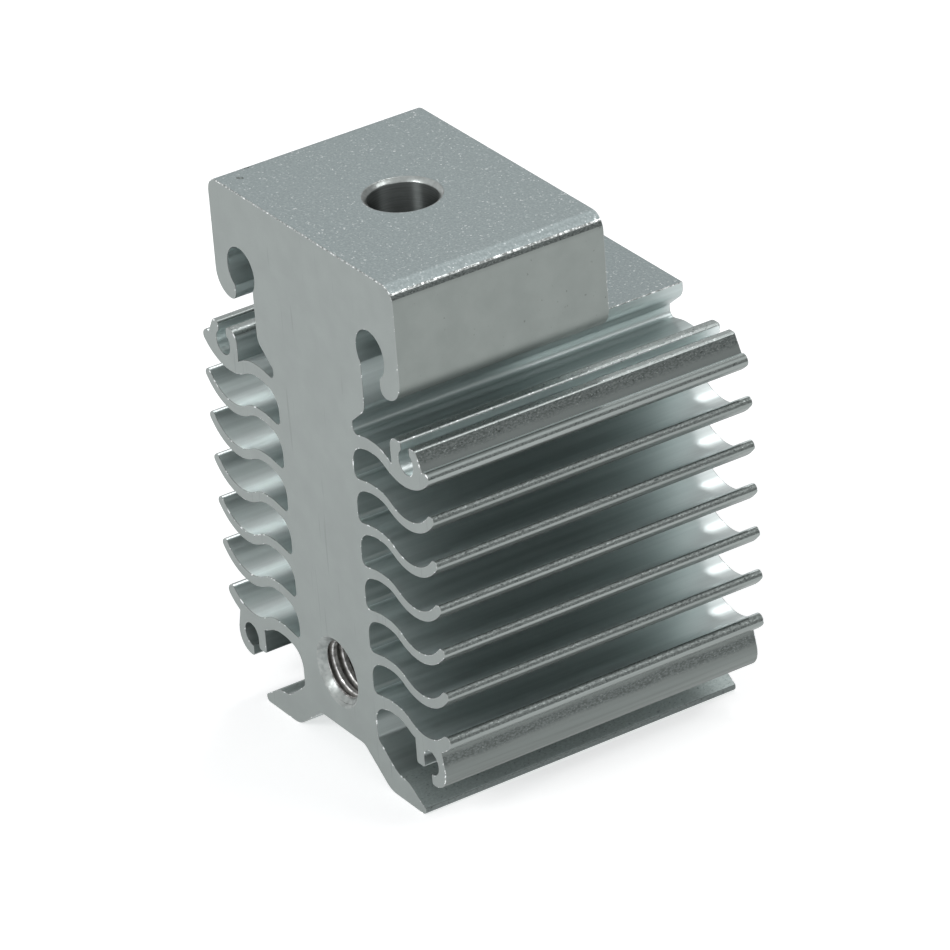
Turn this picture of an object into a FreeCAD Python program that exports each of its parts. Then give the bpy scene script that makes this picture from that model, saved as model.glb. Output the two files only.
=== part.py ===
"""Heat sink of a printer hot end: one length of extruded aluminium profile, milled, drilled and tapped.

Frame: X across the fins, Y along the extrusion, Z up, in millimetres. The origin is at the middle of the
length, on the centre plane, on the surface that the two feet stand on. The front end face looks to -Y.
"""
import FreeCAD
import Part
import math
import os

V = FreeCAD.Vector

# Blank: the cut length of profile
LENGTH = 27.0
HEIGHT = 42.3

# Square fan that is screwed to the rear end: the fins are as wide, and the step clears its upper edge
FAN_WIDTH = 30.0
FAN_CLEARANCE = 0.05

# Head: the solid block on top, with a hook along each side
HEAD_HALF_WIDTH = 12.0
HEAD_CORNER = 1.2
HEAD_LENGTH = 17.5          # what the milling leaves of the head, from the front face
HOOK_GAP = 2.8              # open height between the upper port's prongs and the hook
HOOK_OUTER_ROUND = 1.8
HOOK_INNER_ROUND = 0.7
CHANNEL_RISE = 2.8          # centre of the hook's round channel above the end of the hook
CHANNEL_X = 8.45
CHANNEL_RADIUS = 1.8
CHANNEL_MOUTH = 2.4

# Spine: the shoulder under the head, the neck under the shoulder, and the web between the fins
SHOULDER_HALF_WIDTH = 7.05
SHOULDER_RISE = 1.5         # height of the slant from the neck out to the shoulder
SHOULDER_ROUND = 1.2
NECK_HALF_WIDTH = 5.2
NECK_RISE = 1.1             # top of the neck above the middle of the top fin
NECK_ROUND = 0.4
WEB_HALF_WIDTH = 4.9

# Fins: S-shaped blades in an even stack; crest and trough are those of the middle of the blade
FIN_COUNT = 7
FIN_THICKNESS = 0.78
PORT_FIN_THICKNESS = 1.0    # the top and bottom fins, which carry the screw ports
PORT_FIN_REACH = 14.8
CREST_X = 7.8
CREST_RADIUS = 3.15
TROUGH_RADIUS = 4.1
FIN_DIP = 0.97              # how far the trough lies below the crest
TIP_SLOPE = math.radians(48)
TIP_ROUND = 0.95            # rounding of the tip as a share of half the thickness
ROOT_FLAT = 0.9             # level stretch on the web side of the crest
ROOT_DROP = 0.35            # fall of the fin's upper side from there to the web
ROOT_SAG = 0.55             # fall of the fin's lower side from there to the web
ROOT_ROUND_ABOVE = 0.45
ROOT_ROUND_BELOW = 1.6

# Screw ports: open round channels for the fan's screws, in a square pattern
PORT_SPACING = 24.0
LOWER_PORT_Z = 4.95
LOWER_PORT_DROP = 2.45      # centre of the lower port below the crest of the bottom fin
UPPER_PORT_LIFT = 0.55      # centre of the upper port above the crest of the top fin
PORT_RADIUS = 0.93
PORT_INNER_WALL = 1.0       # beside the channel, on the side of the web
PORT_OUTER_WALL = 0.85
PORT_BACK_ROUND = 0.8       # the inner prongs, on the side of the web
PORT_LIP_ROUND = 0.22       # the prongs, at the mouth
UPPER_PORT_MOUTH = 1.05
UPPER_PRONG = 1.45          # height of the prongs above the port's centre
UPPER_PRONG_TOP = 0.75      # width of the outer prong at its top
UPPER_PRONG_FOOT = 2.1      # centre of the port to the outer prong's foot on the fin
LOWER_PORT_MOUTH = 0.85
LOWER_PRONG = 0.8           # depth of the inner prong below the port's centre
LOWER_RING_ROUND = 1.5
LOWER_RING_WAIST = 0.5      # wall beside the channel where the ring hangs from the fin
LOWER_WAIST_ROUND = 0.9

# Feet
FOOT_REACH = 10.65
FOOT_EDGE = 0.55            # thickness of the foot at its outer edge
FOOT_TIP_ROUND = 0.2
FOOT_TOE_ROUND = 0.35
FOOT_ROOT_Z = 3.75          # where the foot's upper side meets the web
FOOT_ROOT_ROUND = 0.6
FOOT_KNEE_X = 7.2           # where the upper side turns nearly level
FOOT_KNEE_Z = 1.95
FOOT_KNEE_ROUND = 2.0
FOOT_BROW_X = 8.7           # where it falls off to the edge
FOOT_BROW_Z = 1.8
FOOT_BROW_ROUND = 1.5
FOOT_HEEL_X = 6.1           # where the flat sole ends
FOOT_HEEL_ROUND = 2.0
ARCH_HEIGHT = 2.4
ARCH_HALF_WIDTH = 2.9
ARCH_ROUND = 1.0

# Bore for the heat break, through the head and the web, and the tapped hole for its clamp screw
BORE_DIAMETER = 5.1
BORE_CHAMFER = 0.3
SCREW_BORE = 4.3            # drilled size of an M5 thread
SCREW_COUNTERSINK = 5.4
SCREW_Z = 7.05
OVERCUT = 1.0               # how far cutters run past the surfaces they leave

FRONT = -LENGTH / 2
FIN_REACH = FAN_WIDTH / 2
PORT_X = PORT_SPACING / 2
UPPER_PORT_Z = LOWER_PORT_Z + PORT_SPACING
TOP_FIN_Z = UPPER_PORT_Z - UPPER_PORT_LIFT
BOTTOM_FIN_Z = LOWER_PORT_Z + LOWER_PORT_DROP
FIN_PITCH = (TOP_FIN_Z - BOTTOM_FIN_Z) / (FIN_COUNT - 1)
NECK_TOP = TOP_FIN_Z + NECK_RISE
SHOULDER_BOTTOM = NECK_TOP + SHOULDER_RISE
HOOK_BOTTOM = UPPER_PORT_Z + UPPER_PRONG + HOOK_GAP
CHANNEL_Z = HOOK_BOTTOM + CHANNEL_RISE
STEP_HEIGHT = (LOWER_PORT_Z + UPPER_PORT_Z + FAN_WIDTH) / 2 + FAN_CLEARANCE
BORE_Y = FRONT + HEAD_LENGTH / 2


def rounded_wire(corners):
    """Closed wire in the front plane through corners (x, z, radius), each rounded by a tangent arc."""
    edges = []
    ends = []
    count = len(corners)
    for i in range(count):
        x, z, radius = corners[i]
        here = V(x, FRONT, z)
        back = V(corners[i - 1][0], FRONT, corners[i - 1][1])
        ahead = V(corners[(i + 1) % count][0], FRONT, corners[(i + 1) % count][1])
        incoming = (here - back).normalize()
        outgoing = (ahead - here).normalize()
        half_turn = incoming.getAngle(outgoing) / 2
        if radius == 0 or half_turn < 1e-6:
            ends.append((here, here, None))
            continue
        setback = radius * math.tan(half_turn)
        inward = (outgoing - incoming).normalize()
        middle = here + inward * (radius / math.cos(half_turn) - radius)
        ends.append((here - incoming * setback, here + outgoing * setback, middle))
    for i in range(count):
        start, finish, middle = ends[i]
        if middle is not None:
            edges.append(Part.Arc(start, middle, finish).toShape())
        following = ends[(i + 1) % count][0]
        if finish.distanceToPoint(following) > 1e-6:
            edges.append(Part.LineSegment(finish, following).toShape())
    return Part.Wire(edges)


def extruded(corners):
    """Solid of the full length over a rounded outline."""
    return Part.Face(rounded_wire(corners)).extrude(V(0, LENGTH, 0))


def mirrored(corners):
    """The same outline on the other side of the centre plane."""
    return [(-x, z, radius) for x, z, radius in reversed(corners)]


def round_channel(x, z, radius):
    """Cutter for a round channel along the whole length."""
    return Part.makeCylinder(radius, LENGTH, V(x, FRONT, z), V(0, 1, 0))


def fin_side(crest_z, half, reach, side):
    """Rounded corners of one side of a fin, crest to tip: side is 1 for the upper, -1 for the lower.

    The curl after the trough ends at the tip's slope, and from there the blade runs on straight.
    """
    slope = math.acos(1 - FIN_DIP / (CREST_RADIUS + TROUGH_RADIUS))
    trough_x = CREST_X + (CREST_RADIUS + TROUGH_RADIUS) * math.sin(slope)
    trough_z = crest_z - FIN_DIP + TROUGH_RADIUS
    tip_x = reach - half
    curl = math.asin(min((tip_x - trough_x) / TROUGH_RADIUS, math.sin(TIP_SLOPE)))
    straight = (tip_x - trough_x - TROUGH_RADIUS * math.sin(curl)) / math.cos(curl)
    tip_z = trough_z - TROUGH_RADIUS * math.cos(curl) + straight * math.sin(curl)
    crest_radius = CREST_RADIUS + side * half
    trough_radius = TROUGH_RADIUS - side * half
    lean = (curl - slope) / 2
    corner = trough_radius / math.cos((slope + curl) / 2)
    return [
        (CREST_X + crest_radius * math.tan(slope / 2), crest_z + side * half, crest_radius),
        (trough_x + corner * math.sin(lean), trough_z - corner * math.cos(lean), trough_radius),
        (tip_x + half * (math.cos(curl) - side * math.sin(curl)),
         tip_z + half * (math.sin(curl) + side * math.cos(curl)), half * TIP_ROUND),
    ]


def fin_outline(number):
    """Outline of one fin on the right, out along its upper side and back along its lower side."""
    crest_z = TOP_FIN_Z - number * FIN_PITCH
    carries_port = number in (0, FIN_COUNT - 1)
    reach = PORT_FIN_REACH if carries_port else FIN_REACH
    half = (PORT_FIN_THICKNESS if carries_port else FIN_THICKNESS) / 2
    above = [
        (NECK_HALF_WIDTH if number == 0 else WEB_HALF_WIDTH, crest_z + half - ROOT_DROP, ROOT_ROUND_ABOVE),
        (CREST_X - ROOT_FLAT, crest_z + half, CREST_RADIUS),
    ]
    below = [
        (CREST_X - ROOT_FLAT, crest_z - half, CREST_RADIUS),
        (WEB_HALF_WIDTH, crest_z - half - ROOT_SAG, ROOT_ROUND_BELOW),
    ]
    upper = fin_side(crest_z, half, reach, 1)
    lower = fin_side(crest_z, half, reach, -1)
    return above + upper + lower[::-1] + below


def right_outline():
    """Right half of the profile from the top of the head to the arch between the feet."""
    hook_inside = SHOULDER_HALF_WIDTH + CHANNEL_MOUTH
    head = [
        (HEAD_HALF_WIDTH, HEIGHT, HEAD_CORNER),
        (HEAD_HALF_WIDTH, HOOK_BOTTOM, HOOK_OUTER_ROUND),
        (hook_inside, HOOK_BOTTOM, HOOK_INNER_ROUND),
        (hook_inside, CHANNEL_Z, 0),
        (SHOULDER_HALF_WIDTH, CHANNEL_Z, 0),
        (SHOULDER_HALF_WIDTH, SHOULDER_BOTTOM, SHOULDER_ROUND),
        (NECK_HALF_WIDTH, NECK_TOP, NECK_ROUND),
    ]
    fins = []
    for number in range(FIN_COUNT):
        fins += fin_outline(number)
    foot = [
        (WEB_HALF_WIDTH, FOOT_ROOT_Z, FOOT_ROOT_ROUND),
        (FOOT_KNEE_X, FOOT_KNEE_Z, FOOT_KNEE_ROUND),
        (FOOT_BROW_X, FOOT_BROW_Z, FOOT_BROW_ROUND),
        (FOOT_REACH, FOOT_EDGE, FOOT_TIP_ROUND),
        (FOOT_REACH, 0, FOOT_TOE_ROUND),
        (FOOT_HEEL_X, 0, FOOT_HEEL_ROUND),
        (ARCH_HALF_WIDTH, ARCH_HEIGHT, ARCH_ROUND),
    ]
    return head + fins + foot


def upper_port():
    """Walls of the upper screw port: two prongs that rise from the trough of the top fin."""
    back = PORT_X - PORT_RADIUS - PORT_INNER_WALL
    top = UPPER_PORT_Z + UPPER_PRONG
    slot = UPPER_PORT_MOUTH / 2
    in_fin = TOP_FIN_Z - FIN_DIP
    foot = PORT_X + UPPER_PRONG_FOOT
    return [
        (back, in_fin, 0),
        (back, top, PORT_BACK_ROUND),
        (PORT_X - slot, top, PORT_LIP_ROUND),
        (PORT_X - slot, UPPER_PORT_Z, 0),
        (PORT_X + slot, UPPER_PORT_Z, 0),
        (PORT_X + slot, top, PORT_LIP_ROUND),
        (PORT_X + slot + UPPER_PRONG_TOP, top, PORT_LIP_ROUND),
        (foot, TOP_FIN_Z + PORT_FIN_THICKNESS / 2, 0),
        (foot, TOP_FIN_Z, 0),
        (PORT_X, in_fin, 0),
    ]


def lower_port():
    """Walls of the lower screw port: a short prong and a ring that hang from the bottom fin."""
    back = PORT_X - PORT_RADIUS - PORT_INNER_WALL
    lip = PORT_X - PORT_RADIUS + LOWER_PORT_MOUTH
    waist = PORT_X + PORT_RADIUS + LOWER_RING_WAIST
    ring = PORT_RADIUS + PORT_OUTER_WALL
    in_fin = BOTTOM_FIN_Z - FIN_DIP
    return [
        (back, in_fin, 0),
        (waist, in_fin, 0),
        (PORT_X + ring, LOWER_PORT_Z, LOWER_WAIST_ROUND),
        (PORT_X + ring, LOWER_PORT_Z - ring, LOWER_RING_ROUND),
        (lip, LOWER_PORT_Z - ring, PORT_LIP_ROUND),
        (lip, LOWER_PORT_Z, 0),
        (PORT_X - PORT_RADIUS, LOWER_PORT_Z, 0),
        (PORT_X - PORT_RADIUS, LOWER_PORT_Z - LOWER_PRONG, PORT_LIP_ROUND),
        (back, LOWER_PORT_Z - LOWER_PRONG, PORT_LIP_ROUND),
    ]


def profile_bar():
    """The extruded bar before any machining."""
    right = right_outline()
    bar = extruded(right + mirrored(right))
    walls = []
    channels = []
    for port in (upper_port(), lower_port()):
        walls += [extruded(port), extruded(mirrored(port))]
    for side in (1, -1):
        channels.append(round_channel(side * PORT_X, UPPER_PORT_Z, PORT_RADIUS))
        channels.append(round_channel(side * PORT_X, LOWER_PORT_Z, PORT_RADIUS))
        channels.append(round_channel(side * CHANNEL_X, CHANNEL_Z, CHANNEL_RADIUS))
    return bar.fuse(walls).cut(channels).removeSplitter()


def milling_cut():
    """What the cutter takes off the rear of the head, down to the step."""
    width = 2 * (HEAD_HALF_WIDTH + OVERCUT)
    depth = LENGTH - HEAD_LENGTH + OVERCUT
    return Part.makeBox(width, depth, HEIGHT, V(-width / 2, FRONT + HEAD_LENGTH, STEP_HEIGHT))


def heat_break_bore():
    """Straight bore from the top of the head to the arch, broken at its upper edge."""
    radius = BORE_DIAMETER / 2
    drill = Part.makeCylinder(radius, HEIGHT + 2 * OVERCUT, V(0, BORE_Y, -OVERCUT))
    chamfer = Part.makeCone(radius, radius + BORE_CHAMFER, BORE_CHAMFER, V(0, BORE_Y, HEIGHT - BORE_CHAMFER))
    return drill.fuse(chamfer)


def clamp_screw_hole():
    """Tapped hole from the front face into the bore, countersunk at 45 degrees."""
    along = V(0, 1, 0)
    mouth = V(0, FRONT, SCREW_Z)
    depth = (SCREW_COUNTERSINK - SCREW_BORE) / 2
    drill = Part.makeCylinder(SCREW_BORE / 2, BORE_Y - FRONT, mouth, along)
    countersink = Part.makeCone(SCREW_COUNTERSINK / 2, SCREW_BORE / 2, depth, mouth, along)
    return drill.fuse(countersink)


def heat_sink():
    """The finished part."""
    return profile_bar().cut([milling_cut(), heat_break_bore(), clamp_screw_hole()])


os.makedirs("parts", exist_ok=True)
heat_sink().exportStep("parts/heat_sink.step")
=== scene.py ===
from math import cos, pi, radians, sin

import bmesh
import bpy
from mathutils import Matrix, Vector


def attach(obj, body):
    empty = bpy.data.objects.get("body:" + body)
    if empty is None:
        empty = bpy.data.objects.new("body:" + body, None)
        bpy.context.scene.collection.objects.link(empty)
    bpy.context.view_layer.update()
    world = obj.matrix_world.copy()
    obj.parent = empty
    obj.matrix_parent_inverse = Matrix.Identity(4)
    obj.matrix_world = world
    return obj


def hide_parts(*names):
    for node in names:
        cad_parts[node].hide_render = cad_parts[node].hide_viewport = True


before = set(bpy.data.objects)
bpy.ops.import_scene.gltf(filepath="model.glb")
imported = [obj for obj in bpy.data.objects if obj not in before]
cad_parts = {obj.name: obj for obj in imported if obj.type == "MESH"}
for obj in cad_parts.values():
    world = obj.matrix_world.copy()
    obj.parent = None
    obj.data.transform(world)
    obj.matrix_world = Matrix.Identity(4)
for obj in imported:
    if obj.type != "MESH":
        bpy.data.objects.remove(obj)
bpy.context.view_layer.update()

MM = 0.001

# Camera: solved from the photograph's edges, in the frame's metres
CAMERA_PLACE = Vector((0.37855, -0.23074, 0.25592))
CAMERA_TARGET = Vector((0.01315, -0.00832, 0.02589))
CAMERA_ROLL = radians(-4.6)
CAMERA_LENS = 265.9
CAMERA_SENSOR = 36.0
CAMERA_SHIFT = (-0.0056, 0.0104)
CAMERA_NEAR = 0.01

# Studio
MIDDLE = Vector((0, 0, 0.021))      # what the lamps look at
SKY_LIGHT = (0.42, 0.43, 0.44)      # light of the surroundings on anything that is not a mirror
SKY_SEEN = (1, 1, 1)
FLOOR_SIZE = 6.0
FLOOR_COLOUR = (0.8, 0.8, 0.8, 1)
FLOOR_GLOW = 0.55                   # what brings the seen floor up to white
SCREEN_PLACE = (0, 1.6, 1.5)        # grey screen behind the part, which its metal mirrors
SCREEN_SIZE = (12, 3, 1)
SCREEN_SHADE = 0.48
WHITE = (1, 1, 1, 1)
LAMP_DISTANCE = 0.9

# Sizes of the solid that the dressed body lines up with
FRONT = -13.5 * MM
HEAD_TOP = 42.3 * MM
HEAD_ROUND = 1.2 * MM
HEAD_BOTTOM = 33.1 * MM
STEP_TOP = 32.0 * MM
SHOULDER_BOTTOM = 28.6 * MM
SHOULDER_X = 8.0 * MM
PRONG_TOP = 30.4 * MM
PRONG_FOOT = 28.9 * MM
RING_TOP = 6.7 * MM
RING_MIDDLE = 4.6 * MM
FIN_UNDERSIDE = 7.1 * MM
OUTER_X = 13.0 * MM
WEB_X = 7.0 * MM
FOOT_POCKET = 5.0 * MM
FOOT_TOP = 2.6 * MM
FOOT_KNEE = 7.6 * MM
ARCH_TOP = 2.4 * MM
BORE_Y = -4.75 * MM
SCREW_Z = 7.05 * MM

# Fine form: broken edges, dents, and the M5 thread of the clamp screw
WELD = 1e-4 * MM
SAME_PLANE = radians(0.4)
SHARP = radians(32)
EDGE_BREAK = 0.07 * MM
AREA_WEIGHT = 100           # how fully large faces rule the blended normals
THREAD_PITCH = 0.8 * MM
THREAD_MINOR = 2.12 * MM
THREAD_MAJOR = 2.5 * MM
THREAD_CREST = 0.42         # share of the pitch at which a crest ends
THREAD_ROOT = 0.14          # share of the pitch at the full depth
THREAD_DULL_START = 0.04    # share of the pitch, before its lap begins, at which a crest's dull edge starts
THREAD_DULL_END = 0.12      # share of the pitch at which that edge ends and the crest is full
THREAD_DULL_DEPTH = 0.1 * MM
THREAD_STEPS = 48
THREAD_OVERRUN = 1.0 * MM   # how far the cutter starts before the front face
NICKS = (Vector((-9.9, -11.99, 42.3)) * MM, Vector((-11.15, -10.78, 42.26)) * MM)
NICK_SIZE = Vector((0.3, 0.17, 0.14)) * MM
NICK_TURN = radians(35)

# Where the finishes begin and end
SAME_LEVEL = 0.05 * MM
HEAD_ROUND_START = HEAD_TOP - HEAD_ROUND
HEAD_SIDE_X = OUTER_X - 2.2 * MM
STEP_EDGE = 0.1 * MM
PRONG_TOP_START = PRONG_TOP - 0.3 * MM
PRONG_TOP_END = PRONG_TOP + 0.1 * MM
BORE_REACH = 2.96 * MM                  # from the bore's axis, with the chamfer
SINK_REACH = 3.3 * MM                   # from the screw's axis, with the countersink's edge
SINK_BOTTOM = FRONT + 0.6 * MM
THREAD_REACH = 2.9 * MM
CREST_REACH = THREAD_MINOR + 0.08 * MM
NICK_REACH = 0.35 * MM

# How far a face looks along an axis, as the cosine that parts one finish from the next
SQUARE = 0.99
BORE_WALL = 0.98
THREAD_WALL = 0.95
CHAMFER_UP = 0.3
SINK_FORWARD = 0.5
END_EDGE = 0.1
RIM_UP = 0.3
ROUND_TOP_UP = 0.7
# On the head's round: a band painted as highlight, and under it a band painted as shade
ROUND_HIGHLIGHT_UP = 0.5
ROUND_SHADE_UP = 0.3
HEAD_SIDE_OUT = -0.3
STEP_RIM_UP = 0.2
PRONG_TOP_UP = 0.3
FOOT_UP = -0.5
FOOT_TOP_UP = 0.6
FIN_TOP_UP = 0.2
POCKET_ROOT = 0.6
FACE_OUT = 0.1
LIP_UP = 0.15

# Bands on the outer faces of the screw ports, with ragged borders
PRONG_SMOOTH = 29.35 * MM
PRONG_ROUGH = 29.75 * MM
RING_ROUGH_TOP = 6.0 * MM
RING_ROUGH_BOTTOM = 5.5 * MM
RING_FADE = 0.3 * MM
RAGGED_BY = 0.25 * MM

# How the grain is stretched: its scale on X, Y and Z
EVEN = (1, 1, 1)
DIE_DRAWN = (1, 0.02, 1)
RAGGED = (1, 0.3, 1)
DRAGGED = (1, 0.5, 1)
SHORT_DRAGGED = (1, 0.6, 1)
UPRIGHT = (1, 1, 0.05)
TURNED = (0.05, 0.05, 1)
UPRIGHT_SHEEN = 0.25        # turn of the drawn-out reflections, as a share of a full turn


def linked(mesh, name):
    """A new object for a mesh, in the scene."""
    made = bpy.data.objects.new(name, mesh)
    bpy.context.scene.collection.objects.link(made)
    return made


def broken_edges(bm):
    """Breaks every outer sharp edge with a small round."""
    sharp = []
    for edge in bm.edges:
        if len(edge.link_faces) == 2 and edge.is_convex and edge.calc_face_angle(0) > SHARP:
            sharp.append(edge)
    bmesh.ops.bevel(bm, geom=sharp, offset=EDGE_BREAK, segments=2, profile=0.5,
                    affect="EDGES", clamp_overlap=False, loop_slide=True)


def thread_section():
    """One pitch of the thread, as shares of the pitch and radii."""
    flank = (1 - THREAD_CREST - THREAD_ROOT) / 2
    return [
        (THREAD_DULL_END, THREAD_MINOR),
        (THREAD_CREST, THREAD_MINOR),
        (THREAD_CREST + flank, THREAD_MAJOR),
        (THREAD_CREST + flank + THREAD_ROOT, THREAD_MAJOR),
        (1 - THREAD_DULL_START, THREAD_MINOR + THREAD_DULL_DEPTH),
    ]


def thread_cutter():
    """Closed helical cutter of the thread, as long as the tapped hole."""
    start = FRONT - THREAD_OVERRUN
    turns = int((BORE_Y - start) / THREAD_PITCH)
    section = thread_section()
    bm = bmesh.new()
    rings = []
    for step in range(THREAD_STEPS + 1):
        turn = step / THREAD_STEPS
        angle = 2 * pi * turn
        ring = []
        for lap in range(turns):
            for share, radius in section:
                y = start + (lap + share + turn) * THREAD_PITCH
                ring.append(bm.verts.new((radius * cos(angle), y, SCREW_Z + radius * sin(angle))))
        rings.append(ring)
    for a, b in zip(rings, rings[1:]):
        for i in range(len(a) - 1):
            bm.faces.new((a[i], a[i + 1], b[i + 1], b[i]))
    bmesh.ops.remove_doubles(bm, verts=bm.verts, dist=WELD)
    bmesh.ops.holes_fill(bm, edges=[e for e in bm.edges if e.is_boundary], sides=0)
    bmesh.ops.triangulate(bm, faces=[f for f in bm.faces if len(f.verts) > 4])
    bmesh.ops.recalc_face_normals(bm, faces=bm.faces)
    mesh = bpy.data.meshes.new("thread_cutter")
    bm.to_mesh(mesh)
    bm.free()
    return linked(mesh, "thread_cutter")


def nick_cutter(place):
    """A small tilted lens, which leaves one dent in the top."""
    bm = bmesh.new()
    bmesh.ops.create_icosphere(bm, subdivisions=2, radius=1)
    bm.transform(Matrix.Diagonal((*NICK_SIZE, 1)))
    bm.transform(Matrix.Translation(place) @ Matrix.Rotation(NICK_TURN, 4, "Z"))
    mesh = bpy.data.meshes.new("nick_cutter")
    bm.to_mesh(mesh)
    bm.free()
    return linked(mesh, "nick_cutter")


def cut_by(body, cutter):
    """Cuts one mesh out of another for good."""
    cut = body.modifiers.new("cut", "BOOLEAN")
    cut.operation = "DIFFERENCE"
    cut.solver = "EXACT"
    cut.object = cutter
    bpy.context.view_layer.update()
    evaluated = body.evaluated_get(bpy.context.evaluated_depsgraph_get())
    mesh = bpy.data.meshes.new_from_object(evaluated)
    body.modifiers.remove(cut)
    body.data = mesh
    bpy.data.objects.remove(cutter)


def node_tree(name):
    """A new material with its nodes emptied."""
    material = bpy.data.materials.new(name)
    material.use_nodes = True
    material.node_tree.nodes.clear()
    return material, material.node_tree


def add(tree, kind, **sockets):
    """A node with some sockets set, each by a value or by an output to link."""
    node = tree.nodes.new(kind)
    for key, value in sockets.items():
        socket = node.inputs[key.replace("_", " ")]
        if isinstance(value, bpy.types.NodeSocket):
            tree.links.new(value, socket)
        else:
            socket.default_value = value
    return node


def grain(tree, scale, stretch=EVEN, detail=2.0):
    """Noise in the object's own space, with scale in marks per millimetre."""
    place = add(tree, "ShaderNodeTexCoord")
    mapping = add(tree, "ShaderNodeMapping", Vector=place.outputs["Object"])
    mapping.inputs["Scale"].default_value = [scale * s / MM for s in stretch]
    noise = add(tree, "ShaderNodeTexNoise", Vector=mapping.outputs["Vector"], Scale=1.0, Detail=detail)
    return noise.outputs["Fac"]


def ramp(tree, factor, low, high, at_low=0.0, at_high=1.0):
    """Maps a range of a factor on a range of values, clamped."""
    node = add(tree, "ShaderNodeMapRange")
    tree.links.new(factor, node.inputs[0])
    for index, value in enumerate((low, high, at_low, at_high)):
        node.inputs[index + 1].default_value = value
    return node.outputs[0]


def combined(tree, operation, first, second):
    """Two factors put together by an operation."""
    node = tree.nodes.new("ShaderNodeMath")
    node.operation = operation
    tree.links.new(first, node.inputs[0])
    tree.links.new(second, node.inputs[1])
    return node.outputs[0]


def blended(tree, kind, factor, low, high):
    """Mix of two values or colours, each given plainly or as an output."""
    node = tree.nodes.new("ShaderNodeMix")
    node.data_type = kind
    # The node holds separate sockets for values and for colours
    first, result = (2, 0) if kind == "FLOAT" else (6, 2)
    tree.links.new(factor, node.inputs[0])
    for index, value in ((first, low), (first + 1, high)):
        if isinstance(value, bpy.types.NodeSocket):
            tree.links.new(value, node.inputs[index])
        else:
            node.inputs[index].default_value = value if kind == "FLOAT" else (*value, 1)
    return node.outputs[result]


def metal(name, ground, layers, relief, depth, turned=0.0):
    """Bare metal: a ground of (colour, roughness), and layers of (mask, colour, roughness) over it.

    Depth is the relief's height in millimetres. Turned is how far a turning tool's rings draw
    the reflections out upright.
    """
    material, tree = node_tree(name)
    colour, rough = ground
    for mask, layer_colour, layer_rough in layers:
        factor = mask(tree)
        colour = blended(tree, "RGBA", factor, colour, layer_colour)
        rough = blended(tree, "FLOAT", factor, rough, layer_rough)
    bump = add(tree, "ShaderNodeBump", Height=relief(tree), Distance=depth * MM, Strength=1.0)
    surface = add(tree, "ShaderNodeBsdfPrincipled", Metallic=1.0, Base_Color=colour, Roughness=rough,
                  Anisotropic=turned, Anisotropic_Rotation=UPRIGHT_SHEEN,
                  Normal=bump.outputs["Normal"])
    add(tree, "ShaderNodeOutputMaterial", Surface=surface.outputs["BSDF"])
    return material


def marks(scale, low, high, stretch=EVEN, detail=2.0, inverse=False):
    """A mask that rises from 0 to 1 where the grain goes from low to high, or falls if inverse."""
    ends = (1.0, 0.0) if inverse else (0.0, 1.0)

    def mask(tree):
        return ramp(tree, grain(tree, scale, stretch, detail), low, high, *ends)

    return mask


def bumps(scale, stretch=EVEN, detail=2.0):
    """A relief that follows the grain."""
    def height(tree):
        return grain(tree, scale, stretch, detail)

    return height


# Soft cloudy patches of about two millimetres, fine even grain, and small irregular lighter spots
mottle = marks(scale=0.5, low=0.35, high=0.65, detail=4.0)
fine = marks(scale=6.0, low=0.3, high=0.7)
sheen_spots = marks(scale=3.0, low=0.6, high=0.72, detail=3.0)

# Sparse dark specks, and sparse thin upright scratches
pits = marks(scale=2.6, low=0.74, high=0.8, detail=1.0)
scratches = marks(scale=3.0, low=0.7, high=0.78, stretch=UPRIGHT, detail=1.0)

# What the die leaves along the extrusion: lines, and where it drags short marks and specks; on the prong
# tops the lighter torn marks are painted glints
die_lines = marks(scale=2.5, low=0.35, high=0.65, stretch=DIE_DRAWN, detail=4.0)
torn = marks(scale=9.0, low=0.38, high=0.64, stretch=DRAGGED, detail=4.0)
torn_light_and_glints = marks(scale=9.0, low=0.62, high=0.74, stretch=SHORT_DRAGGED)
dark_specks = marks(scale=6.0, low=0.6, high=0.72, stretch=SHORT_DRAGGED, detail=3.0)

# Rings left by the drill, and uneven marks of the tap, which on the thread's crests are painted glints
tool_rings = marks(scale=12.0, low=0.3, high=0.7, stretch=TURNED, detail=3.0)
tool_marks_and_glints = marks(scale=2.5, low=0.35, high=0.65, detail=3.0)

# Painted glints along the broken edges, and darker gaps in the painted highlight of the rim
painted_burr_glints = marks(scale=3.5, low=0.54, high=0.66, detail=3.0)
painted_highlight_gaps = marks(scale=4.0, low=0.45, high=0.6, detail=3.0, inverse=True)
edge_glints = marks(scale=2.8, low=0.6, high=0.66, detail=3.0)

fine_relief = bumps(scale=10.0)
facet_relief = bumps(scale=4.2, detail=1.0)
die_relief = bumps(scale=4.0, stretch=DIE_DRAWN, detail=3.0)
torn_relief = bumps(scale=9.0, stretch=DRAGGED, detail=4.0)
ring_relief = bumps(scale=12.0, stretch=TURNED, detail=3.0)
edge_relief = bumps(scale=3.0, detail=3.0)


def painted_facet_glints(tree):
    """Painted glints of the small facets of a tumbled surface, thicker in some places than in others."""
    facets = ramp(tree, grain(tree, scale=4.6, detail=1.0), low=0.67, high=0.76)
    crowding = ramp(tree, grain(tree, scale=0.35), low=0.3, high=0.6, at_low=0.25, at_high=0.75)
    return combined(tree, "MULTIPLY", facets, crowding)


def ragged_height(tree):
    """Height, made uneven so that bands laid by it have ragged edges."""
    place = add(tree, "ShaderNodeTexCoord")
    parts = add(tree, "ShaderNodeSeparateXYZ", Vector=place.outputs["Object"])
    noise = grain(tree, scale=0.8, stretch=RAGGED, detail=4.0)
    uneven = ramp(tree, noise, low=0.0, high=1.0, at_low=-RAGGED_BY, at_high=RAGGED_BY)
    return combined(tree, "ADD", parts.outputs["Z"], uneven)


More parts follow.
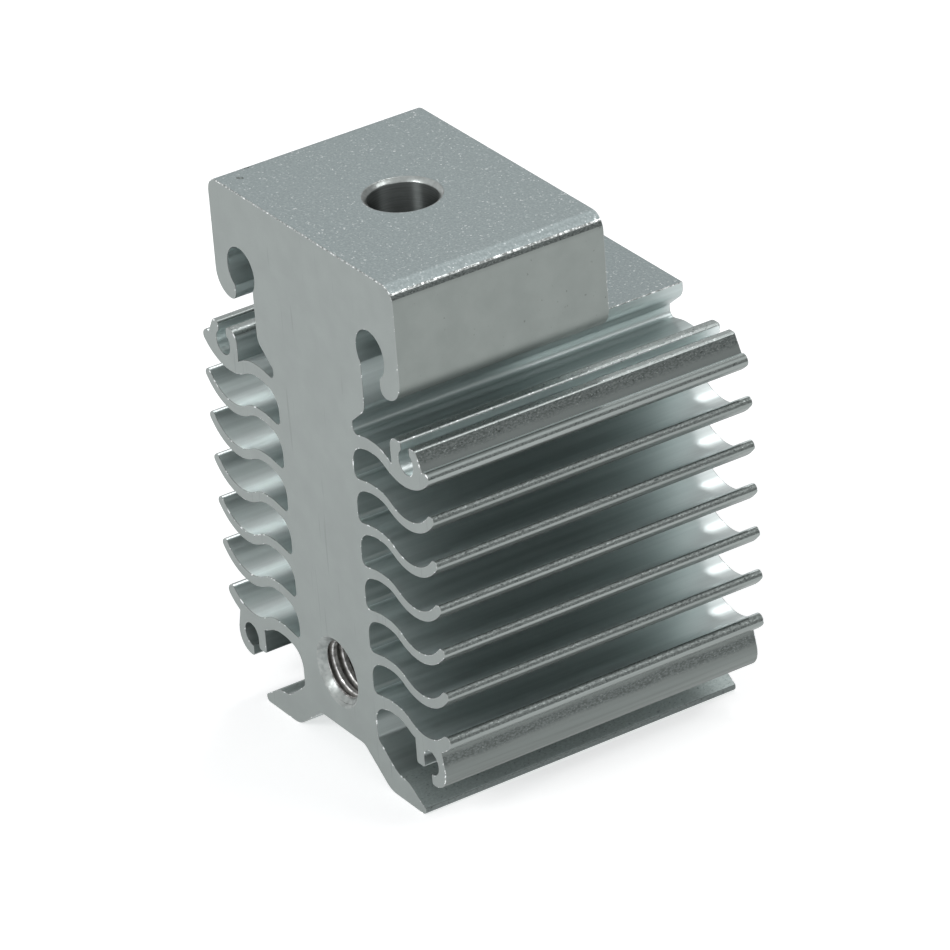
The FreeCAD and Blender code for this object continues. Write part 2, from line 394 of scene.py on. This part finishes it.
def prong_foot(tree):
    """The lower part of the upper port's outer face, left smooth by the die."""
    return ramp(tree, ragged_height(tree), PRONG_SMOOTH, PRONG_ROUGH, at_low=1.0, at_high=0.0)


def ring_sides(tree):
    """The lower port's outer face above and below its dragged band."""
    height = ragged_height(tree)
    above = ramp(tree, height, RING_ROUGH_TOP, RING_ROUGH_TOP + RING_FADE)
    below = ramp(tree, height, RING_ROUGH_BOTTOM - RING_FADE, RING_ROUGH_BOTTOM, at_low=1.0, at_high=0.0)
    return combined(tree, "ADD", above, below)


DRAG_GROUND = ((0.095, 0.107, 0.104), 0.46)
DRAG_LAYERS = [
    (torn, (0.165, 0.185, 0.18), 0.42),
    (torn_light_and_glints, (0.27, 0.3, 0.29), 0.36),
    (dark_specks, (0.06, 0.068, 0.066), 0.6),
]

MATERIALS = {
    "end_face": metal("aluminium_end_face", ((0.288, 0.315, 0.307), 0.5), [
        (mottle, (0.304, 0.333, 0.324), 0.5),
        (scratches, (0.26, 0.285, 0.277), 0.5),
    ], fine_relief, depth=0.004),
    "top": metal("aluminium_top", ((0.287, 0.328, 0.332), 0.6), [
        (fine, (0.345, 0.394, 0.398), 0.55),
        (sheen_spots, (0.415, 0.465, 0.469), 0.5),
        # Near-white spots painted on the top as glints of its facets
        (painted_facet_glints, (0.9, 0.93, 0.93), 0.34),
    ], facet_relief, depth=0.01),
    # The head's sides: the metal painted darker than the end faces, as shade on this side
    "head_side": metal("aluminium_head_side_painted_shade", ((0.25, 0.275, 0.263), 0.5), [
        (mottle, (0.27, 0.296, 0.283), 0.5),
        (pits, (0.19, 0.205, 0.198), 0.6),
    ], fine_relief, depth=0.004),
    "skin": metal("aluminium_skin", ((0.65, 0.71, 0.705), 0.36), [
        (die_lines, (0.73, 0.79, 0.785), 0.42),
    ], die_relief, depth=0.0015),
    # The skin painted darker as shade in the pockets, the fins' roots and over the foot
    "pocket": metal("aluminium_pocket_painted_shade", ((0.38, 0.423, 0.417), 0.42), [
        (die_lines, (0.44, 0.487, 0.48), 0.46),
    ], die_relief, depth=0.002),
    # The skin painted darker as shade in the groove under the head
    "groove": metal("aluminium_groove_painted_shade", ((0.46, 0.515, 0.51), 0.4), [
        (die_lines, (0.54, 0.6, 0.595), 0.45),
    ], die_relief, depth=0.003),
    "outer": metal("aluminium_outer", ((0.185, 0.204, 0.196), 0.5), [
        (die_lines, (0.225, 0.247, 0.238), 0.45),
    ], die_relief, depth=0.003),
    # The dark drag marks, also laid as painted shade on the head's round and in the dents
    "drag_marks_and_shade": metal("aluminium_drag_marks_and_painted_shade", DRAG_GROUND, DRAG_LAYERS, torn_relief, depth=0.006),
    "prong": metal("aluminium_prong", DRAG_GROUND, DRAG_LAYERS + [
        (prong_foot, (0.185, 0.206, 0.2), 0.42),
    ], torn_relief, depth=0.004),
    "ring": metal("aluminium_ring", ((0.105, 0.117, 0.113), 0.5), [
        (torn, (0.165, 0.185, 0.18), 0.44),
        (torn_light_and_glints, (0.24, 0.265, 0.257), 0.4),
        (ring_sides, (0.2, 0.221, 0.213), 0.45),
    ], torn_relief, depth=0.003),
    "prong_top": metal("aluminium_prong_top", ((0.36, 0.395, 0.387), 0.42), [
        # Near-white torn marks on the prong tops, painted glints
        (torn_light_and_glints, (0.85, 0.89, 0.88), 0.28),
        (dark_specks, (0.12, 0.134, 0.131), 0.6),
    ], torn_relief, depth=0.006),
    "lip": metal("aluminium_lip", ((0.12, 0.134, 0.13), 0.46), [
        (torn, (0.19, 0.211, 0.205), 0.42),
        (torn_light_and_glints, (0.31, 0.34, 0.332), 0.34),
        (dark_specks, (0.075, 0.085, 0.083), 0.6),
    ], torn_relief, depth=0.006),
    "tip": metal("aluminium_tip", ((0.27, 0.298, 0.288), 0.46), [
        (die_lines, (0.32, 0.351, 0.34), 0.42),
    ], die_relief, depth=0.003),
    "foot": metal("aluminium_foot", ((0.165, 0.188, 0.184), 0.52), [
        (torn, (0.2, 0.226, 0.221), 0.5),
        (dark_specks, (0.09, 0.102, 0.1), 0.6),
    ], torn_relief, depth=0.004),
    "foot_top": metal("aluminium_foot_top", ((0.36, 0.408, 0.4), 0.6), [
        (torn, (0.42, 0.474, 0.466), 0.56),
        (dark_specks, (0.24, 0.272, 0.266), 0.62),
    ], torn_relief, depth=0.004),
    # The bore's wall painted dark as shade deep in the hole, with the drill's rings
    "bore": metal("aluminium_bore_painted_shade", ((0.15, 0.165, 0.162), 0.46), [
        (tool_rings, (0.2, 0.218, 0.214), 0.42),
    ], ring_relief, depth=0.004, turned=0.95),
    "chamfer": metal("aluminium_chamfer", ((0.28, 0.3, 0.293), 0.34), [
        (tool_marks_and_glints, (0.36, 0.385, 0.378), 0.28),
    ], edge_relief, depth=0.01),
    # The thread's grooves painted dark as shade
    "thread": metal("aluminium_thread_painted_shade", ((0.2, 0.2, 0.19), 0.6), [
        (tool_marks_and_glints, (0.34, 0.33, 0.315), 0.5),
    ], edge_relief, depth=0.015),
    # The thread's crests painted light as a highlight, with near-white painted glints
    "crest": metal("aluminium_crest_painted_highlight", ((0.4, 0.4, 0.39), 0.6), [
        (tool_marks_and_glints, (0.9, 0.9, 0.89), 0.4),
    ], edge_relief, depth=0.06),
    "sink": metal("aluminium_countersink", ((0.26, 0.28, 0.273), 0.4), [
        (tool_marks_and_glints, (0.34, 0.363, 0.355), 0.3),
    ], edge_relief, depth=0.014),
    "edge": metal("aluminium_edge", ((0.31, 0.335, 0.328), 0.45), [
        # Near-white spots along the broken edges, painted glints
        (edge_glints, (0.97, 0.99, 0.99), 0.3),
    ], edge_relief, depth=0.012),
    # A light ground painted as a highlight, broken by darker gaps, with near-white painted glints
    "rim": metal("aluminium_rim_painted_highlight", ((0.55, 0.58, 0.575), 0.34), [
        (painted_highlight_gaps, (0.24, 0.255, 0.25), 0.5),
        (painted_burr_glints, (0.95, 0.97, 0.97), 0.28),
    ], edge_relief, depth=0.015),
}
SLOTS = list(MATERIALS)


def hole_finish(middle, normal):
    """Finish of the bore and of the clamp screw's hole, with painted shade in the bore and the thread's
    grooves and a painted highlight on the crests, or None elsewhere.
    """
    from_bore = Vector((middle.x, middle.y - BORE_Y, 0)).length
    if from_bore < BORE_REACH and abs(normal.z) < BORE_WALL and middle.z > ARCH_TOP:
        return "chamfer" if normal.z > CHAMFER_UP else "bore"
    from_screw = Vector((middle.x, 0, middle.z - SCREW_Z)).length
    if from_screw < SINK_REACH and middle.y < SINK_BOTTOM and -SQUARE < normal.y < -SINK_FORWARD:
        return "sink"
    if from_screw < THREAD_REACH and middle.y < BORE_Y and abs(normal.y) < THREAD_WALL:
        # Crests take the painted highlight, the grooves the painted shade
        return "crest" if from_screw < CREST_REACH else "thread"
    return None


def end_finish(middle, normal):
    """Finish of the ends, their edges with painted highlight and painted glints, and the dents with painted
    shade, or None elsewhere.
    """
    if abs(normal.y) > SQUARE:
        return "end_face"
    # The dents take the dark drag finish, painted shade in them
    if min((middle - nick).length for nick in NICKS) < NICK_REACH:
        return "drag_marks_and_shade"
    if abs(normal.y) > END_EDGE:
        # The top's front and rear edges take the rim's painted highlight, the other edges painted glints
        return "rim" if normal.z > RIM_UP and middle.z > HEAD_ROUND_START else "edge"
    return None


def head_finish(middle, normal, outward):
    """Finish of the head, the step and the grooves below them, with painted highlight and shade on the
    head's round, and painted shade on its sides and in the groove, or None elsewhere.
    """
    on_step = abs(middle.z - STEP_TOP)
    across = abs(middle.x)
    if normal.z > SQUARE and (middle.z > HEAD_TOP - SAME_LEVEL or on_step < SAME_LEVEL):
        return "top"
    if middle.z > HEAD_ROUND_START:
        if normal.z > ROUND_TOP_UP:
            return "top"
        # A band of the round painted as highlight, and under it a dark band painted as shade with the drag
        # marks' finish
        if normal.z > ROUND_HIGHLIGHT_UP:
            return "rim"
        if normal.z > ROUND_SHADE_UP:
            return "drag_marks_and_shade"
        return "head_side"
    # The head's sides take the painted shade of head_side
    if middle.z > HEAD_BOTTOM and across > HEAD_SIDE_X and outward > HEAD_SIDE_OUT:
        return "head_side"
    # The step's edge takes the rim's painted highlight
    if on_step < STEP_EDGE and normal.z > STEP_RIM_UP:
        return "rim"
    # The groove under the head takes painted shade
    if middle.z > SHOULDER_BOTTOM and across < SHOULDER_X:
        return "groove"
    if PRONG_TOP_START < middle.z < PRONG_TOP_END and normal.z > PRONG_TOP_UP:
        return "prong_top"
    return None


def inner_finish(middle, normal, outward):
    """Finish of the feet, the pockets and the fins' inner faces, with painted shade in the pockets, the
    fins' roots and the low fin faces, or None elsewhere.
    """
    across = abs(middle.x)
    if middle.z < FOOT_TOP and across > FOOT_KNEE and normal.z > FOOT_UP:
        return "foot_top" if normal.z > FOOT_TOP_UP else "foot"
    # Low fin faces, fin undersides over the foot and the fins' roots take the pockets' painted shade
    pocket_top = FOOT_POCKET if normal.z > FIN_TOP_UP else FIN_UNDERSIDE
    if middle.z < pocket_top and across < OUTER_X:
        return "pocket"
    if across < WEB_X and abs(normal.x) > POCKET_ROOT:
        return "pocket"
    if outward < FACE_OUT or across < OUTER_X:
        return "skin"
    return None


def outer_finish(middle, normal):
    """Finish of the fins' tips and of the ports' outer faces."""
    if PRONG_FOOT < middle.z < PRONG_TOP:
        return "prong"
    if RING_MIDDLE < middle.z < RING_TOP:
        return "ring"
    if middle.z > RING_TOP:
        return "lip" if normal.z > LIP_UP else "tip"
    return "outer"


def finish_of(face):
    """Name of the finish of one face, from where it lies and looks."""
    middle = face.calc_center_median()
    normal = face.normal
    outward = normal.x if middle.x > 0 else -normal.x
    return (
        hole_finish(middle, normal)
        or end_finish(middle, normal)
        or head_finish(middle, normal, outward)
        or inner_finish(middle, normal, outward)
        or outer_finish(middle, normal)
    )


def shaped_body():
    """The solid with broken edges, the cut thread and the dents."""
    bm = bmesh.new()
    bm.from_mesh(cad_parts["heat_sink"].data)
    bmesh.ops.remove_doubles(bm, verts=bm.verts, dist=WELD)
    bmesh.ops.dissolve_limit(bm, angle_limit=SAME_PLANE, verts=bm.verts, edges=bm.edges)
    broken_edges(bm)
    mesh = bpy.data.meshes.new("heat_sink_body")
    bm.to_mesh(mesh)
    bm.free()
    body = linked(mesh, "heat_sink_body")
    cut_by(body, thread_cutter())
    for place in NICKS:
        cut_by(body, nick_cutter(place))
    return body


def give_finishes(mesh):
    """Lays a finish on every face, and keeps the sharp edges sharp."""
    mesh.materials.clear()
    for key in SLOTS:
        mesh.materials.append(MATERIALS[key])
    bm = bmesh.new()
    bm.from_mesh(mesh)
    bm.normal_update()
    for face in bm.faces:
        face.material_index = SLOTS.index(finish_of(face))
        face.smooth = True
    for edge in bm.edges:
        edge.smooth = edge.calc_face_angle(0) < SHARP
    bm.to_mesh(mesh)
    bm.free()


def heat_sink_body():
    """The dressed body of the heat sink."""
    body = shaped_body()
    give_finishes(body.data)
    weigh = body.modifiers.new("weighted_normals", "WEIGHTED_NORMAL")
    weigh.mode = "FACE_AREA"
    weigh.weight = AREA_WEIGHT
    weigh.keep_sharp = True
    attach(body, "root")
    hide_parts("heat_sink")


def camera():
    """The photograph's view, for its image of 950 by 950."""
    data = bpy.data.cameras.new("camera")
    data.sensor_width = CAMERA_SENSOR
    data.lens = CAMERA_LENS
    data.shift_x, data.shift_y = CAMERA_SHIFT
    data.clip_start = CAMERA_NEAR
    made = bpy.data.objects.new("camera", data)
    made.location = CAMERA_PLACE
    turn = (CAMERA_TARGET - CAMERA_PLACE).to_track_quat("-Z", "Y").to_matrix()
    made.rotation_euler = (turn @ Matrix.Rotation(CAMERA_ROLL, 3, "Z")).to_euler()
    bpy.context.scene.collection.objects.link(made)
    bpy.context.scene.camera = made


def softbox(name, toward, size, power):
    """A square area lamp that looks at the part from a direction."""
    data = bpy.data.lights.new(name, "AREA")
    data.shape = "SQUARE"
    data.size = size
    data.energy = power
    place = MIDDLE + Vector(toward).normalized() * LAMP_DISTANCE
    lamp = bpy.data.objects.new(name, data)
    lamp.location = place
    lamp.rotation_euler = (MIDDLE - place).to_track_quat("-Z", "Y").to_euler()
    bpy.context.scene.collection.objects.link(lamp)


def seen_or_mirrored(tree):
    """1 for the rays that show the surroundings: from the camera, mirrored, or through glass."""
    path = add(tree, "ShaderNodeLightPath")
    shown = path.outputs["Is Camera Ray"]
    for kind in ("Is Glossy Ray", "Is Transmission Ray"):
        shown = combined(tree, "MAXIMUM", shown, path.outputs[kind])
    return shown


def floor_material():
    """White where it is seen, and it keeps the part's shadow."""
    material, tree = node_tree("floor")
    plain = add(tree, "ShaderNodeBsdfDiffuse", Color=FLOOR_COLOUR)
    glow = add(tree, "ShaderNodeEmission", Color=WHITE, Strength=FLOOR_GLOW)
    both = add(tree, "ShaderNodeAddShader")
    tree.links.new(plain.outputs[0], both.inputs[0])
    tree.links.new(glow.outputs[0], both.inputs[1])
    mix = add(tree, "ShaderNodeMixShader", Fac=seen_or_mirrored(tree))
    tree.links.new(plain.outputs[0], mix.inputs[1])
    tree.links.new(both.outputs[0], mix.inputs[2])
    add(tree, "ShaderNodeOutputMaterial", Surface=mix.outputs[0])
    return material


def screen():
    """Grey screen behind the part, out of the camera's sight."""
    bpy.ops.mesh.primitive_plane_add(size=1.0, location=SCREEN_PLACE, rotation=(pi / 2, 0, 0))
    made = bpy.context.object
    made.name = "screen"
    made.scale = SCREEN_SIZE
    material, tree = node_tree("screen")
    glow = add(tree, "ShaderNodeEmission", Color=WHITE, Strength=SCREEN_SHADE)
    add(tree, "ShaderNodeOutputMaterial", Surface=glow.outputs[0])
    made.data.materials.append(material)
    made.visible_camera = False


def floor():
    """Pale floor under the part."""
    bpy.ops.mesh.primitive_plane_add(size=FLOOR_SIZE)
    made = bpy.context.object
    made.name = "floor"
    made.data.materials.append(floor_material())


def surroundings():
    """White where they are seen or mirrored, and a grey light on everything else."""
    world = bpy.data.worlds.new("world")
    world.use_nodes = True
    tree = world.node_tree
    tree.nodes.clear()
    colour = blended(tree, "RGBA", seen_or_mirrored(tree), SKY_LIGHT, SKY_SEEN)
    sky = add(tree, "ShaderNodeBackground", Color=colour, Strength=1.0)
    add(tree, "ShaderNodeOutputWorld", Surface=sky.outputs[0])
    bpy.context.scene.world = world


def stage():
    """Floor, screen, surroundings and three soft lamps."""
    screen()
    floor()
    surroundings()
    softbox("front_high", toward=(0.13, -0.8, 0.6), size=0.3, power=2.2)
    softbox("rear_high", toward=(-0.38, 0.42, 0.83), size=0.14, power=0.9)
    softbox("rear_right", toward=(0.47, 0.46, 0.75), size=0.4, power=1.5)


heat_sink_body()
camera()
stage()
bpy.context.scene.view_settings.view_transform = "Standard"
